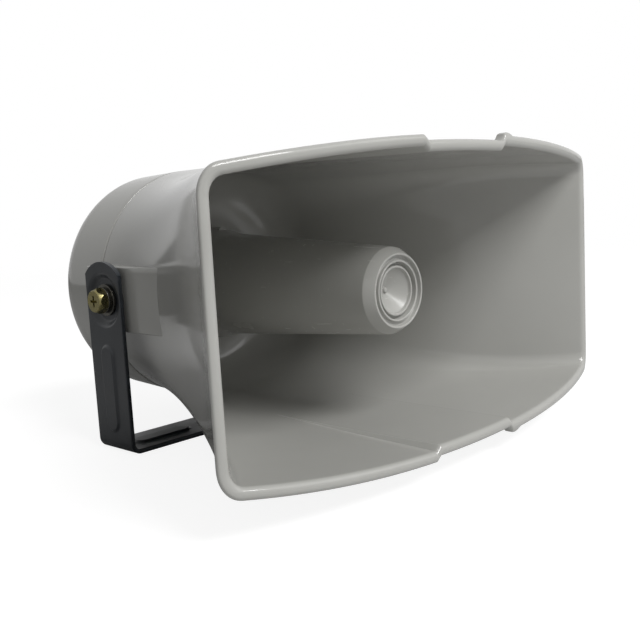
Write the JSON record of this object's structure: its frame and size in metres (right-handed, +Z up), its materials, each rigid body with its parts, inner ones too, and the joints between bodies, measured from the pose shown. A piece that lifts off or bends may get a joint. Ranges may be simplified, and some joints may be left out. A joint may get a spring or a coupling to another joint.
{
  "type": "public address horn speaker",
  "caption": "Rectangular-mouth re-entrant horn loudspeaker with a central cup, domed rear cover over the driver, and a tilting U-shaped strap bracket.",
  "frame": {"origin": "middle of the bracket base's underside, between its two side holes", "axes": "+Z up out of the base toward the horn, -Y the way the mouth faces when level, +X across to the right seen from the front"},
  "size_m": [0.2854, 0.2775, 0.1571],
  "materials": {
    "shell": "glossy light warm grey ABS moulding",
    "cup": "satin light grey ABS moulding",
    "inner_plastic": "dark glass-filled plastic",
    "seal": "black rubber",
    "phenolic": "brown phenolic sheet",
    "ring_plastic": "natural plastic",
    "copper": "enamelled copper wire",
    "plated_steel": "zinc plated steel",
    "ferrite": "dark grey sintered ferrite",
    "core_steel": "oiled silicon steel laminations",
    "bobbin_plastic": "white nylon",
    "screw_steel": "zinc plated screws",
    "tag_brass": "plain brass",
    "block_plastic": "cream nylon",
    "gland_plastic": "black nylon",
    "bracket_paint": "satin blue-black paint on pressed steel",
    "bolt_steel": "yellow passivated zinc on steel"
  },
  "bodies": {
    "bracket": {"bracket": "bracket_paint"},
    "horn": {"horn_bell": "shell", "rear_cover": "shell", "reflector_cup": "cup", "throat_tube": "inner_plastic", "driver_front_plate": "inner_plastic", "phase_plug": "inner_plastic", "throat_gasket": "seal", "cover_gasket": "seal", "gland_seal": "seal", "tag_board": "phenolic", "diaphragm_ring": "ring_plastic", "transformer_winding": "copper", "top_plate": "plated_steel", "yoke": "plated_steel", "transformer_clamp": "plated_steel", "magnet": "ferrite", "transformer_core": "core_steel", "transformer_bobbin": "bobbin_plastic", "cup_screws": "screw_steel", "driver_clamp_screws": "screw_steel", "driver_mount_screws": "screw_steel", "transformer_screws": "screw_steel", "terminal_screws": "screw_steel", "terminal_fixing_screws": "screw_steel", "cover_screws": "screw_steel", "solder_tags": "tag_brass", "threaded_inserts": "tag_brass", "terminal_block": "block_plastic", "gland_body": "gland_plastic", "gland_nut": "gland_plastic", "gland_locknut": "gland_plastic", "flat_washers": "bolt_steel", "spring_washers": "bolt_steel", "pivot_bolts": "bolt_steel"},
    "diaphragm": {"diaphragm": "phenolic", "voice_coil": "copper"}
  },
  "joints": [
    {"name": "horn_tilt", "type": "hinge", "parent": "bracket", "child": "horn", "pos_m": [0, 0, 0.083], "axis": [-1, 0, 0], "range_deg": [-20, 22]},
    {"name": "diaphragm_travel", "type": "slide", "parent": "horn", "child": "diaphragm", "axis": [0, 1, 0], "range_m": [-0.0004, 0.0004], "stiffness_N_per_m": 5000}
  ]
}
